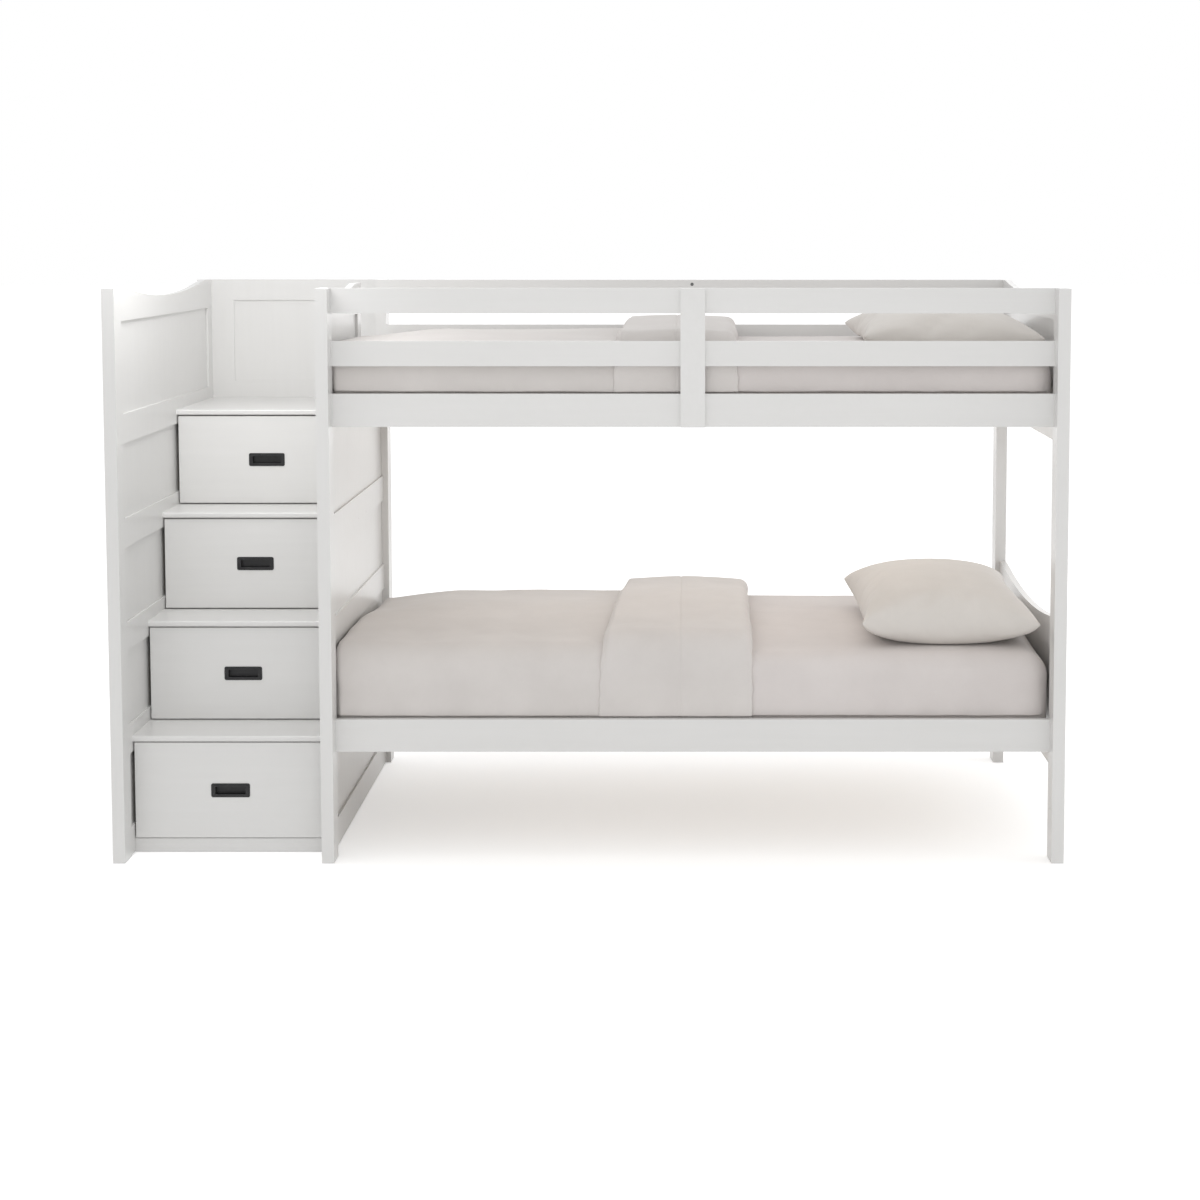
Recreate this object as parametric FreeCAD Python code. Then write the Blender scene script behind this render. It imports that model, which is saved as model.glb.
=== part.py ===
import FreeCAD, Part
import math
import os

Vector = FreeCAD.Vector

# Driving dimensions, in millimetres. X runs from the stairs to the bed's foot, Y from front to rear, Z up.

# Posts and the spaces between the three walls
post_height = 1535.0
post_thickness = 33.0
post_depth = 66.0
overall_depth = 1100.0
stair_clear_width = 525.0
bed_clear_length = 1916.0

# Framed walls: rails with thin panels held in grooves
wall_rail_thickness = 18.0
panel_thickness = 5.0
panel_recess = 7.0
panel_tongue = 4.0
groove_clearance = 0.25
bottom_rail_height = 78.0
bottom_rail_lift = 3.0
rail_below_tread = 42.0
rail_above_tread = 36.0
top_rail_height = 88.0
scoop_depth = 32.0
scoop_shoulder = 36.0

# Entry to the upper bunk, beside the landing
entry_post_depth = 60.0
entry_guard_length = 514.0
entry_scoop_depth = 18.0

# Rear frame of the stairs
back_thickness = 16.0
back_recess = 5.0
back_stile_width = 70.0
back_top_rail_height = 65.0
back_rail_above_landing = 51.0

# Steps
step_count = 4
first_tread_top = 323.0
first_riser_setback = 96.0
landing_below_post_top = 372.0
tread_thickness = 16.0
tread_nosing = 6.0
tread_nose_radius = 5.0
tread_tuck = 40.0
toe_kick_height = 38.0
toe_kick_thickness = 16.0
toe_kick_setback = 6.0

# Drawers and their slides
drawer_gap = 3.0
drawer_front_thickness = 18.0
drawer_front_edge_radius = 2.0
drawer_box_length = 400.0
drawer_rear_room = 36.0
drawer_box_below_front_top = 64.0
drawer_box_lift = 4.0
drawer_side_thickness = 12.0
drawer_bottom_thickness = 5.0
drawer_bottom_lift = 10.0
drawer_bottom_tongue = 6.0
slide_space = 13.0
slide_height = 32.0
slide_metal = 2.0
slide_channel_depth = 11.0
slide_clearance = 0.4

# Recessed drawer pulls
pull_width = 105.0
pull_height = 38.0
pull_flange_thickness = 1.6
pull_corner_radius = 5.0
pull_rim_inset = 5.0
pull_rim_thickness = 1.4
pull_pocket_width = 82.0
pull_pocket_height = 21.0
pull_pocket_depth = 11.0
pull_wall = 2.0
pull_fit = 0.3

# Bed rails, guards and end panels
bed_rail_thickness = 18.0
side_rail_height = 88.0
lower_side_rail_bottom = 291.0
guard_rail_height = 66.5
guard_gap = 73.5
guard_stile_width = 65.0
guard_stile_thickness = 16.0
end_panel_height = 412.0
lower_end_panel_bottom = 235.0

# Slats on ledgers
ledger_width = 22.0
ledger_height = 20.0
slat_count = 14
slat_width = 70.0
slat_thickness = 18.0
slat_end_gap = 2.0
slat_margin = 30.0

# Connector bolts through the posts into the rails' ends
bolt_radius = 4.0
bolt_recess = 1.0
bolt_length = 62.0
guard_bolt_length = 54.0
bolt_clearance = 0.25

# Barrel nuts let into the inner faces of the top guard rails
nut_radius = 5.0
nut_length = 12.0
nut_recess = 0.5
nut_from_post = 29.0
middle_nut_below_top = 14.0

# Small holes bored in the middle wall's third step rail and in the foot post
wall_hole_radius = 2.5
wall_hole_depth = 9.0
wall_hole_above_rail = 11.0
wall_hole_spacing = 140.0
foot_hole_radius = 3.5
foot_hole_depth = 10.0
foot_hole_height = 141.0

# Mattresses
mattress_end_gap = 9.0
mattress_side_gap = 12.0
lower_mattress_height = 236.0
upper_mattress_height = 172.0
mattress_base_radius = 24.0
mattress_shoulder_radius = 62.0
mattress_crown = 16.0
soft_clearance = 0.4

# Shape of the drawn-in ends of mattresses and duvets
end_sections = 2
end_draw_in = 0.62

# Duvets: a body over the mattress and its upper part folded back
duvet_loft = 28.0
duvet_side = 6.0
duvet_fold_loft = 38.0
duvet_fold_side = 4.0
duvet_end_side = 5.0
duvet_short_of_foot = 808.0
duvet_fold_width = 400.0
duvet_fold_overhang = 14.0
duvet_shoulder_radius = 88.0
duvet_crown = 26.0
duvet_hem_above_rail = 5.0

# Pillows
pillow_length = 660.0
pillow_width = 495.0
pillow_under = 45.0
lower_pillow_over = 109.0
upper_pillow_over = 63.0
pillow_seam = 4.0
pillow_draw_in = 16.0
pillow_from_foot = 262.0
pillow_towards_front = 95.0

# Places worked out from the sizes above
front_y = -overall_depth / 2
rear_y = overall_depth / 2
inner_front_y = front_y + post_depth
inner_rear_y = rear_y - post_depth
overall_width = 3 * post_thickness + stair_clear_width + bed_clear_length
left_end_x = -overall_width / 2
stair_left_x = left_end_x + post_thickness
stair_right_x = stair_left_x + stair_clear_width
bed_left_x = stair_right_x + post_thickness
bed_right_x = bed_left_x + bed_clear_length
right_end_x = bed_right_x + post_thickness
bed_centre_x = (bed_left_x + bed_right_x) / 2
back_front_y = rear_y - back_thickness
landing_top = post_height - landing_below_post_top
step_rise = (landing_top - first_tread_top) / (step_count - 1)
tread_tops = [first_tread_top + step_rise * step for step in range(step_count)]
first_riser_y = front_y + first_riser_setback
landing_depth = drawer_front_thickness + drawer_box_length + drawer_rear_room
step_run = (back_front_y - landing_depth - first_riser_y) / (step_count - 1)
riser_ys = [first_riser_y + step_run * step for step in range(step_count)]
entry_post_y = inner_front_y + entry_guard_length
top_rail_bottom = post_height - top_rail_height
upper_side_rail_bottom = post_height - 2 * guard_rail_height - 2 * guard_gap - side_rail_height
bottom_rail_z = (bottom_rail_lift, bottom_rail_lift + bottom_rail_height)
tread_rail_zs = [(top - rail_below_tread, top + rail_above_tread) for top in tread_tops]
between_posts_y = (inner_front_y, inner_rear_y)
between_walls_x = (stair_right_x + wall_rail_thickness, right_end_x - wall_rail_thickness)
mattress_x = (between_walls_x[0] + mattress_end_gap, between_walls_x[1] - mattress_end_gap)
mattress_half_width = inner_rear_y - mattress_side_gap


# Basic shapes

def board(x_range, y_range, z_range):
    """A square-edged board between two corners."""
    corner = Vector(x_range[0], y_range[0], z_range[0])
    return Part.makeBox(x_range[1] - x_range[0], y_range[1] - y_range[0], z_range[1] - z_range[0], corner)


def grown(span, amount):
    """A span made longer by the same amount at both ends."""
    return (span[0] - amount, span[1] + amount)


def from_face(face, away, start, thickness):
    """The span of a layer that starts some distance behind a face and goes away from it."""
    near = face + away * start
    far = near + away * thickness
    return (min(near, far), max(near, far))


def line(start, end):
    return Part.LineSegment(start, end).toShape()


def arc(start, middle, end):
    return Part.Arc(start, middle, end).toShape()


def cylinder(radius, start, end):
    axis = end.sub(start)
    return Part.makeCylinder(radius, axis.Length, start, axis)


def cut_all(shape, tools):
    for tool in tools:
        if shape.BoundBox.intersect(tool.BoundBox):
            shape = shape.cut(tool)
    return shape


def save(node, *shapes):
    """Write one node, whose solids stay separate."""
    shape = shapes[0] if len(shapes) == 1 else Part.makeCompound(list(shapes))
    shape.exportStep("parts/" + node + ".step")


def scooped_rail(x_range, y_range, z_range, shoulder, depth):
    """A top rail whose upper edge dips in one long arc between two flat shoulders."""
    x = x_range[0]
    low_front = Vector(x, y_range[0], z_range[0])
    low_rear = Vector(x, y_range[1], z_range[0])
    high_rear = Vector(x, y_range[1], z_range[1])
    high_front = Vector(x, y_range[0], z_range[1])
    scoop_rear = Vector(x, y_range[1] - shoulder, z_range[1])
    scoop_front = Vector(x, y_range[0] + shoulder, z_range[1])
    scoop_middle = Vector(x, (y_range[0] + y_range[1]) / 2, z_range[1] - depth)
    edges = [
        line(low_front, low_rear),
        line(low_rear, high_rear),
        line(high_rear, scoop_rear),
        arc(scoop_rear, scoop_middle, scoop_front),
        line(scoop_front, high_front),
        line(high_front, low_front),
    ]
    return Part.Face(Part.Wire(edges)).extrude(Vector(x_range[1] - x_range[0], 0, 0))


# Framed walls square to X

def wall_panel(flush_x, away, y_range, z_range):
    """A thin panel that fills one opening of a wall, and the groove that its edges sit in."""
    panel_x = from_face(flush_x, away, panel_recess, panel_thickness)
    panel = board(panel_x, grown(y_range, panel_tongue), grown(z_range, panel_tongue))
    room = panel_tongue + groove_clearance
    groove = board(grown(panel_x, groove_clearance), grown(y_range, room), grown(z_range, room))
    return panel, groove


def wall_rail(flush_x, away, y_range, z_range):
    return board(from_face(flush_x, away, 0, wall_rail_thickness), y_range, z_range)


def post(x_range, at_front):
    y_range = (front_y, inner_front_y) if at_front else (inner_rear_y, rear_y)
    return board(x_range, y_range, (0, post_height))


def side_wall():
    """The outer wall of the stairs: two posts, a rail at every step and a scooped top rail."""
    flush_x = stair_left_x
    away = -1
    rail_zs = [bottom_rail_z] + tread_rail_zs
    ceilings = [z_range[0] for z_range in rail_zs[1:]] + [top_rail_bottom]
    fields = [(z_range[1], ceiling) for z_range, ceiling in zip(rail_zs, ceilings)]
    pairs = [wall_panel(flush_x, away, between_posts_y, field) for field in fields]
    grooves = [groove for panel, groove in pairs]
    rails = [wall_rail(flush_x, away, between_posts_y, z_range) for z_range in rail_zs]
    top_rail = scooped_rail(
        from_face(flush_x, away, 0, wall_rail_thickness),
        between_posts_y, (top_rail_bottom, post_height), scoop_shoulder, scoop_depth,
    )
    post_x = (left_end_x, stair_left_x)
    save("side_wall_front_post", cut_all(post(post_x, True), grooves))
    save("side_wall_rear_post", cut_all(post(post_x, False), grooves))
    save("side_wall_top_rail", cut_all(top_rail, grooves))
    save("side_wall_rails", *[cut_all(rail, grooves) for rail in rails])
    save("side_wall_panels", *[panel for panel, groove in pairs])


def bored_hole(radius, depth, mouth, into_x):
    """A blind hole along X."""
    return cylinder(radius, mouth, Vector(mouth.x + into_x * depth, mouth.y, mouth.z))


def wall_holes(face_x):
    """Two small holes in the bed side of the middle wall's third step rail."""
    z = tread_rail_zs[2][0] + wall_hole_above_rail
    mouths = [Vector(face_x, y, z) for y in (0, wall_hole_spacing)]
    return [bored_hole(wall_hole_radius, wall_hole_depth, mouth, -1) for mouth in mouths]


def middle_wall(bolt_holes):
    """The wall between stairs and bed, open at the top beside the landing."""
    flush_x = stair_right_x
    away = 1
    rail_zs = [bottom_rail_z] + tread_rail_zs
    fields = [(low[1], high[0]) for low, high in zip(rail_zs, rail_zs[1:])]
    pairs = [wall_panel(flush_x, away, between_posts_y, field) for field in fields]
    guard_y = (inner_front_y, entry_post_y)
    landing_rail_top = tread_rail_zs[-1][1]
    guard_panel, guard_groove = wall_panel(flush_x, away, guard_y, (landing_rail_top, top_rail_bottom))
    grooves = [groove for panel, groove in pairs] + [guard_groove]
    rails = [wall_rail(flush_x, away, between_posts_y, z_range) for z_range in rail_zs]
    entry_post = wall_rail(
        flush_x, away, (entry_post_y, entry_post_y + entry_post_depth), (landing_rail_top, post_height)
    )
    guard_rail = scooped_rail(
        from_face(flush_x, away, 0, wall_rail_thickness),
        guard_y, (top_rail_bottom, post_height), scoop_shoulder, entry_scoop_depth,
    )
    post_x = (stair_right_x, bed_left_x)
    save("middle_wall_front_post", cut_all(post(post_x, True), grooves + bolt_holes))
    save("middle_wall_rear_post", cut_all(post(post_x, False), grooves + bolt_holes))
    openings = grooves + wall_holes(flush_x + wall_rail_thickness)
    save("middle_wall_rails", *[cut_all(rail, openings) for rail in rails])
    save("middle_wall_panels", *[panel for panel, groove in pairs])
    save("entry_post", cut_all(entry_post, grooves))
    save("entry_guard_rail", cut_all(guard_rail, grooves))
    save("entry_guard_panel", guard_panel)


def foot_end(bolt_holes):
    """The two posts at the bed's foot with a scooped end panel for each bunk."""
    flush_x = right_end_x
    away = -1
    bottom_rails = []
    panels = []
    top_rails = []
    grooves = []
    for low_z in (lower_end_panel_bottom, post_height - end_panel_height):
        high_z = low_z + end_panel_height
        bottom_rail = (low_z, low_z + bottom_rail_height)
        top_rail = (high_z - top_rail_height, high_z)
        panel, groove = wall_panel(flush_x, away, between_posts_y, (bottom_rail[1], top_rail[0]))
        rail_x = from_face(flush_x, away, 0, wall_rail_thickness)
        scooped = scooped_rail(rail_x, between_posts_y, top_rail, scoop_shoulder, scoop_depth)
        bottom_rails.append(wall_rail(flush_x, away, between_posts_y, bottom_rail).cut(groove))
        top_rails.append(scooped.cut(groove))
        panels.append(panel)
        grooves.append(groove)
    post_x = (bed_right_x, right_end_x)
    foot_mouth = Vector(bed_right_x, front_y + post_depth / 2, foot_hole_height)
    foot_hole = bored_hole(foot_hole_radius, foot_hole_depth, foot_mouth, 1)
    save("foot_front_post", cut_all(post(post_x, True), grooves + bolt_holes + [foot_hole]))
    save("foot_rear_post", cut_all(post(post_x, False), grooves + bolt_holes))
    save("end_bottom_rails", *bottom_rails)
    save("end_panels", *panels)
    save("end_top_rails", *top_rails)


def stair_back():
    """The rear frame of the stairs, between the two rear posts."""
    back_y = (back_front_y, rear_y)
    panel_y = (back_front_y + back_recess, back_front_y + back_recess + panel_thickness)
    left_stile_x = (stair_left_x, stair_left_x + back_stile_width)
    right_stile_x = (stair_right_x - back_stile_width, stair_right_x)
    field_x = (left_stile_x[1], right_stile_x[0])
    landing_rail_z = (tread_rail_zs[-1][0], tread_tops[-1] + back_rail_above_landing)
    rail_zs = [bottom_rail_z, landing_rail_z, (post_height - back_top_rail_height, post_height)]
    room = panel_tongue + groove_clearance
    panels = []
    grooves = []
    for low, high in zip(rail_zs, rail_zs[1:]):
        field_z = (low[1], high[0])
        panels.append(board(grown(field_x, panel_tongue), panel_y, grown(field_z, panel_tongue)))
        grooves.append(board(grown(field_x, room), grown(panel_y, groove_clearance), grown(field_z, room)))
    stile_z = (bottom_rail_lift, post_height)
    stiles = [board(x_range, back_y, stile_z) for x_range in (left_stile_x, right_stile_x)]
    rails = [board(field_x, back_y, z_range) for z_range in rail_zs]
    save("stair_back_stiles", *[cut_all(stile, grooves) for stile in stiles])
    save("stair_back_rails", *[cut_all(rail, grooves) for rail in rails])
    save("stair_back_panels", *panels)


# Steps

def tread(y_range, top):
    """A step board with a rounded nose."""
    low = top - tread_thickness
    radius = tread_nose_radius
    slant = radius * (1 - math.sqrt(0.5))
    x = stair_left_x
    front = y_range[0]
    rear = y_range[1]
    edges = [
        line(Vector(x, front + radius, low), Vector(x, rear, low)),
        line(Vector(x, rear, low), Vector(x, rear, top)),
        line(Vector(x, rear, top), Vector(x, front + radius, top)),
        arc(
            Vector(x, front + radius, top),
            Vector(x, front + slant, top - slant),
            Vector(x, front, top - radius),
        ),
        line(Vector(x, front, top - radius), Vector(x, front, low + radius)),
        arc(
            Vector(x, front, low + radius),
            Vector(x, front + slant, low + slant),
            Vector(x, front + radius, low),
        ),
    ]
    return Part.Face(Part.Wire(edges)).extrude(Vector(stair_clear_width, 0, 0))


def steps():
    """Three treads, the landing and the toe kick under the lowest drawer."""
    for step in range(step_count - 1):
        y_range = (riser_ys[step] - tread_nosing, riser_ys[step + 1] + tread_tuck)
        save("tread_" + str(step + 1), tread(y_range, tread_tops[step]))
    save("landing", tread((riser_ys[-1] - tread_nosing, back_front_y), tread_tops[-1]))
    kick_y = from_face(riser_ys[0], 1, toe_kick_setback, toe_kick_thickness)
    save("toe_kick", board((stair_left_x, stair_right_x), kick_y, (0, toe_kick_height)))


# Drawers

def plate(centre_x, centre_z, width, height, y_range):
    """An upright plate square to Y."""
    half_width = width / 2
    half_height = height / 2
    x_range = grown((centre_x, centre_x), half_width)
    z_range = grown((centre_z, centre_z), half_height)
    return board(x_range, y_range, z_range)


def drawer_pull(centre_z, face_y):
    """A flush pull: flange, raised rim and a finger pocket let into the drawer front."""
    centre_x = (stair_left_x + stair_right_x) / 2
    flange_y = (face_y - pull_flange_thickness, face_y)
    rim_y = (flange_y[0] - pull_rim_thickness, flange_y[0])
    cup_y = (face_y, face_y + pull_pocket_depth + pull_wall)
    pocket_y = (rim_y[0], face_y + pull_pocket_depth)
    cup_width = pull_pocket_width + 2 * pull_wall
    cup_height = pull_pocket_height + 2 * pull_wall
    rim_width = pull_width - 2 * pull_rim_inset
    rim_height = pull_height - 2 * pull_rim_inset
    flange = plate(centre_x, centre_z, pull_width, pull_height, flange_y)
    corners = [edge for edge in flange.Edges if abs(edge.Length - pull_flange_thickness) < 0.01]
    flange = flange.makeFillet(pull_corner_radius, corners)
    rim = plate(centre_x, centre_z, rim_width, rim_height, rim_y)
    cup = plate(centre_x, centre_z, cup_width, cup_height, cup_y)
    pocket = plate(centre_x, centre_z, pull_pocket_width, pull_pocket_height, pocket_y)
    hole = plate(
        centre_x, centre_z, cup_width + 2 * pull_fit, cup_height + 2 * pull_fit,
        (face_y, face_y + drawer_front_thickness),
    )
    return flange.fuse([rim, cup]).cut(pocket).removeSplitter(), hole


def drawer_slide(wall_x, inward, y_range, low_z):
    """One slide: a channel on the wall and the runner on the drawer side that rides in it."""
    high_z = low_z + slide_height
    channel = board(from_face(wall_x, inward, 0, slide_channel_depth), y_range, (low_z, high_z))
    channel_room = board(
        from_face(wall_x, inward, slide_metal, slide_channel_depth), y_range,
        (low_z + slide_metal, high_z - slide_metal),
    )
    play = slide_metal + slide_clearance
    runner = board(
        from_face(wall_x, inward, play, slide_space - play), y_range, (low_z + play, high_z - play)
    )
    return channel.cut(channel_room), runner


def drawers():
    channels = []
    for number in range(step_count):
        node = "drawer_" + str(number + 1)
        floor_z = tread_tops[number - 1] if number else toe_kick_height
        low_z = floor_z + drawer_gap
        high_z = tread_tops[number] - tread_thickness - drawer_gap
        face_y = riser_ys[number]
        box_y = from_face(face_y, 1, drawer_front_thickness, drawer_box_length)
        box_z = (low_z + drawer_box_lift, high_z - drawer_box_below_front_top)
        box_x = grown((stair_left_x, stair_right_x), -slide_space)
        inside_x = grown(box_x, -drawer_side_thickness)
        back_y = (box_y[1] - drawer_side_thickness, box_y[1])
        floor_y = (box_y[0] - drawer_bottom_tongue, back_y[0] + drawer_bottom_tongue)
        floor_x = grown(inside_x, drawer_bottom_tongue)
        bottom_z = from_face(box_z[0], 1, drawer_bottom_lift, drawer_bottom_thickness)
        bottom = board(floor_x, floor_y, bottom_z)
        groove_x = grown(floor_x, groove_clearance)
        groove_y = grown(floor_y, groove_clearance)
        groove = board(groove_x, groove_y, grown(bottom_z, groove_clearance))
        pull, pull_hole = drawer_pull((low_z + high_z) / 2, face_y)
        front_x = grown((stair_left_x, stair_right_x), -drawer_gap)
        front_y_range = (face_y, box_y[0])
        front = board(front_x, front_y_range, (low_z, high_z))
        rim_edges = [edge for edge in front.Edges if abs(edge.CenterOfMass.y - face_y) < 0.01]
        front = front.makeFillet(drawer_front_edge_radius, rim_edges)
        left_side = board((box_x[0], inside_x[0]), box_y, box_z)
        right_side = board((inside_x[1], box_x[1]), box_y, box_z)
        back = board(inside_x, back_y, box_z)
        walls = [cut_all(piece, [groove]) for piece in (left_side, right_side, back)]
        left_channel, left_runner = drawer_slide(stair_left_x, 1, box_y, low_z)
        right_channel, right_runner = drawer_slide(stair_right_x, -1, box_y, low_z)
        channels += [left_channel, right_channel]
        save(node + "_front", cut_all(front, [groove, pull_hole]))
        save(node + "_box", *walls, bottom)
        save(node + "_pull", pull)
        save(node + "_slides", left_runner, right_runner)
    save("slide_channels", *channels)


# Bed rails

def rail_y(at_front):
    if at_front:
        return (inner_front_y - bed_rail_thickness, inner_front_y)
    return (inner_rear_y, inner_rear_y + bed_rail_thickness)


def rail_levels():
    """Height ranges of the bed rails."""
    top_z = (post_height - guard_rail_height, post_height)
    middle_z = (top_z[0] - guard_gap - guard_rail_height, top_z[0] - guard_gap)
    upper_z = (upper_side_rail_bottom, upper_side_rail_bottom + side_rail_height)
    lower_z = (lower_side_rail_bottom, lower_side_rail_bottom + side_rail_height)
    return {"guard_top": top_z, "guard_middle": middle_z, "upper": upper_z, "lower": lower_z}


def rail_bolt(face_x, into_x, at_front, z, length):
    """One bolt through a post into a rail's end, and the hole that it needs."""
    span = rail_y(at_front)
    y = (span[0] + span[1]) / 2
    mouth = Vector(face_x, y, z)
    head = Vector(face_x + into_x * bolt_recess, y, z)
    tip = Vector(face_x + into_x * (bolt_recess + length), y, z)
    hole_end = Vector(tip.x + into_x * bolt_clearance, y, z)
    bolt = cylinder(bolt_radius, head, tip)
    hole = cylinder(bolt_radius + bolt_clearance, mouth, hole_end)
    return bolt, hole


def rail_bolts():
    """A bolt at both ends of each side rail and top guard rail. Returns their holes."""
    levels = rail_levels()
    pairs = []
    for level, length in (("upper", bolt_length), ("lower", bolt_length), ("guard_top", guard_bolt_length)):
        z = (levels[level][0] + levels[level][1]) / 2
        for at_front in (True, False):
            pairs.append(rail_bolt(stair_right_x, 1, at_front, z, length))
            pairs.append(rail_bolt(right_end_x, -1, at_front, z, length))
    save("rail_bolts", *[bolt for bolt, hole in pairs])
    return [hole for bolt, hole in pairs]


def guard_nut(x, z, at_front):
    """One barrel nut in the inner face of a guard rail, and the hole that it needs."""
    face_y = inner_front_y if at_front else inner_rear_y
    into_y = -1 if at_front else 1
    head = Vector(x, face_y + into_y * nut_recess, z)
    tip = Vector(x, face_y + into_y * (nut_recess + nut_length), z)
    nut = cylinder(nut_radius, head, tip)
    hole = cylinder(nut_radius + bolt_clearance, Vector(x, face_y, z), tip)
    return nut, hole


def guard_nuts():
    """A nut at both ends and at the middle of each top guard rail. Returns their holes."""
    top_z = rail_levels()["guard_top"]
    end_z = (top_z[0] + top_z[1]) / 2
    pairs = []
    for at_front in (True, False):
        pairs.append(guard_nut(bed_left_x + nut_from_post, end_z, at_front))
        pairs.append(guard_nut(bed_centre_x, post_height - middle_nut_below_top, at_front))
        pairs.append(guard_nut(bed_right_x - nut_from_post, end_z, at_front))
    save("guard_nuts", *[nut for nut, hole in pairs])
    return [hole for nut, hole in pairs]


def bed_rails(fastener_holes):
    levels = rail_levels()
    bed_x = (bed_left_x, bed_right_x)
    rails = {}
    for name, z_range in levels.items():
        for at_front in (True, False):
            rails[name, at_front] = cut_all(board(bed_x, rail_y(at_front), z_range), fastener_holes)
    save("upper_front_rail", rails["upper", True])
    save("upper_rear_rail", rails["upper", False])
    save("lower_front_rail", rails["lower", True])
    save("lower_rear_rail", rails["lower", False])
    save("front_guard_rails", rails["guard_top", True], rails["guard_middle", True])
    save("rear_guard_rails", rails["guard_top", False], rails["guard_middle", False])
    stile_x = grown((bed_centre_x, bed_centre_x), guard_stile_width / 2)
    stile_z = (levels["upper"][0], levels["guard_top"][1])
    front_stile_y = from_face(rail_y(True)[0], -1, 0, guard_stile_thickness)
    rear_stile_y = from_face(rail_y(False)[1], 1, 0, guard_stile_thickness)
    save("guard_stiles", board(stile_x, front_stile_y, stile_z), board(stile_x, rear_stile_y, stile_z))


def slat_beds():
    """Ledgers along the side rails and the slats that lie across them."""
    ledgers = []
    bed_x = (bed_left_x, bed_right_x)
    pitch = (bed_clear_length - 2 * slat_margin - slat_width) / (slat_count - 1)
    slat_y = grown(between_posts_y, -slat_end_gap)
    for node, low_z in (("upper_slats", upper_side_rail_bottom), ("lower_slats", lower_side_rail_bottom)):
        ledger_z = (low_z, low_z + ledger_height)
        ledgers.append(board(bed_x, from_face(inner_front_y, 1, 0, ledger_width), ledger_z))
        ledgers.append(board(bed_x, from_face(inner_rear_y, -1, 0, ledger_width), ledger_z))
        slats = []
        for number in range(slat_count):
            start_x = bed_left_x + slat_margin + pitch * number
            slat_z = from_face(ledger_z[1], 1, 0, slat_thickness)
            slats.append(board((start_x, start_x + slat_width), slat_y, slat_z))
        save(node, *slats)
    save("slat_ledgers", *ledgers)


# Bedding

def slab_section(x, half_width, low, high, base, shoulder, crown):
    """Outline of a padded slab square to X: flat base, upright sides, rounded shoulders, crowned top."""
    edge = high - crown
    base_slant = base * math.sqrt(0.5)
    top_slant = shoulder * math.sqrt(0.5)

    def at(y, z):
        return Vector(x, y, z)

    def side(sign):
        foot = at(sign * (half_width - base), low)
        toe = at(sign * (half_width - base + base_slant), low + base - base_slant)
        heel = at(sign * half_width, low + base)
        hip = at(sign * half_width, edge - shoulder)
        turn = at(sign * (half_width - shoulder + top_slant), edge - shoulder + top_slant)
        top = at(sign * (half_width - shoulder), edge)
        return foot, toe, heel, hip, turn, top

    foot, toe, heel, hip, turn, top = side(1)
    foot_2, toe_2, heel_2, hip_2, turn_2, top_2 = side(-1)
    edges = [
        line(foot_2, foot),
        arc(foot, toe, heel),
        line(heel, hip),
        arc(hip, turn, top),
        arc(top, at(0, high), top_2),
        arc(top_2, turn_2, hip_2),
        line(hip_2, heel_2),
        arc(heel_2, toe_2, foot_2),
    ]
    return Part.Wire(edges)


def slab(x_range, ends, half_width, low, high, base, shoulder, crown):
    """A padded slab along X. Each end is drawn in over its own length, or square where that is zero."""
    stations = []
    for section in range(end_sections + 1):
        share = (section / end_sections) ** 2
        draw_in = end_draw_in * (1 - math.sqrt(1 - (1 - share) ** 2))
        stations.append((x_range[0] + ends[0] * share, draw_in * ends[0]))
        stations.append((x_range[1] - ends[1] * share, draw_in * ends[1]))
    wires = []
    used = set()
    for x, draw_in in sorted(stations):
        if round(x, 3) in used:
            continue
        used.add(round(x, 3))
        wires.append(slab_section(x, half_width - draw_in, low, high - draw_in, base, shoulder, crown))
    return Part.makeLoft(wires, True, True)


def mattress(low, height, grow):
    """A mattress in its fitted sheet. grow is the room left round it by what lies on it."""
    return slab(
        grown(mattress_x, grow),
        (mattress_shoulder_radius, mattress_shoulder_radius),
        mattress_half_width + grow, low - grow, low + height + grow,
        mattress_base_radius, mattress_shoulder_radius, mattress_crown,
    )


def duvet_layer(low, mattress_top, x_range, ends, loft, side):
    return slab(
        x_range, ends, mattress_half_width + side, low, mattress_top + loft,
        mattress_base_radius, duvet_shoulder_radius, duvet_crown,
    )


def duvet(low, height, hem_z):
    """The duvet's body over the mattress, and its upper part folded back on top."""
    top = low + height
    start_x = mattress_x[0] - duvet_end_side
    end_x = mattress_x[1] - duvet_short_of_foot
    ends = (duvet_shoulder_radius, 0)
    body = duvet_layer(low, top, (start_x, end_x), ends, duvet_loft, duvet_side)
    body_room = duvet_layer(
        low, top, (start_x - soft_clearance, end_x + soft_clearance), ends,
        duvet_loft + soft_clearance, duvet_side + soft_clearance,
    )
    fold_x = (end_x + duvet_fold_overhang - duvet_fold_width, end_x + duvet_fold_overhang)
    fold = duvet_layer(
        low, top, fold_x, (duvet_fold_loft, duvet_fold_loft),
        duvet_loft + duvet_fold_loft, duvet_side + duvet_fold_side,
    )
    far = overall_width
    below = board((-far, far), (-far, far), (-far, hem_z))
    filling = mattress(low, height, soft_clearance)
    body = body.cut(filling).cut(below)
    fold = fold.cut(body_room).cut(filling).cut(below)
    return body, fold


def crowned_profile(half_length, under, over, place):
    """Outline across a pillow: a full top and a flatter underside that meet at the seams."""
    seam = pillow_seam / 2
    left_seam = line(place(-half_length, -seam), place(-half_length, seam))
    top = arc(place(-half_length, seam), place(0, seam + over), place(half_length, seam))
    right_seam = line(place(half_length, seam), place(half_length, -seam))
    underside = arc(place(half_length, -seam), place(0, -seam - under), place(-half_length, -seam))
    return Part.Face(Part.Wire([left_seam, top, right_seam, underside]))


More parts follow.
